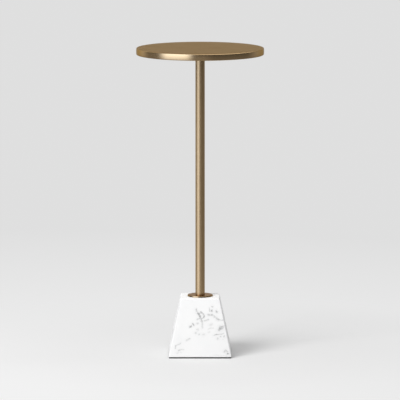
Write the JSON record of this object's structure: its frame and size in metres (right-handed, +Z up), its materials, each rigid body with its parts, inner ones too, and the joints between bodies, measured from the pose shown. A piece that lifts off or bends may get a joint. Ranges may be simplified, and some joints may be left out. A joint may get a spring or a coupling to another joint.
{
  "type": "wine table",
  "caption": "Small round drinks table with a brushed brass top on a slim pole, standing on a tapered square white marble block.",
  "frame": {"origin": "on the floor, at the centre of the base's underside", "axes": "+Z up along the pole's axis, X and Y along the sides of the square base, -Y towards the picture's viewer"},
  "size_m": [0.2524, 0.2524, 0.61],
  "materials": {
    "brushed_brass": "satin",
    "white_marble": "satin",
    "foam_pad": "matte",
    "black_rubber": "matte",
    "zinc_steel": "satin",
    "core_board": "matte",
    "black_sheet": "satin"
  },
  "bodies": {
    "root": {"floor_pad": "foam_pad", "marble_base": "white_marble", "cushion_washer": "black_rubber", "penny_washer": "zinc_steel", "spring_washer": "zinc_steel", "base_nut": "zinc_steel", "base_rod": "zinc_steel", "collar_gasket": "black_rubber", "collar": "brushed_brass", "collar_nut": "zinc_steel", "pole_tube": "brushed_brass", "lower_plug": "zinc_steel", "upper_plug": "zinc_steel", "top_stud": "zinc_steel", "top_skin": "brushed_brass", "top_core": "core_board", "backing_disc": "black_sheet", "top_flange": "brushed_brass", "flange_nut": "zinc_steel", "flange_screws": "zinc_steel"}
  },
  "joints": []
}
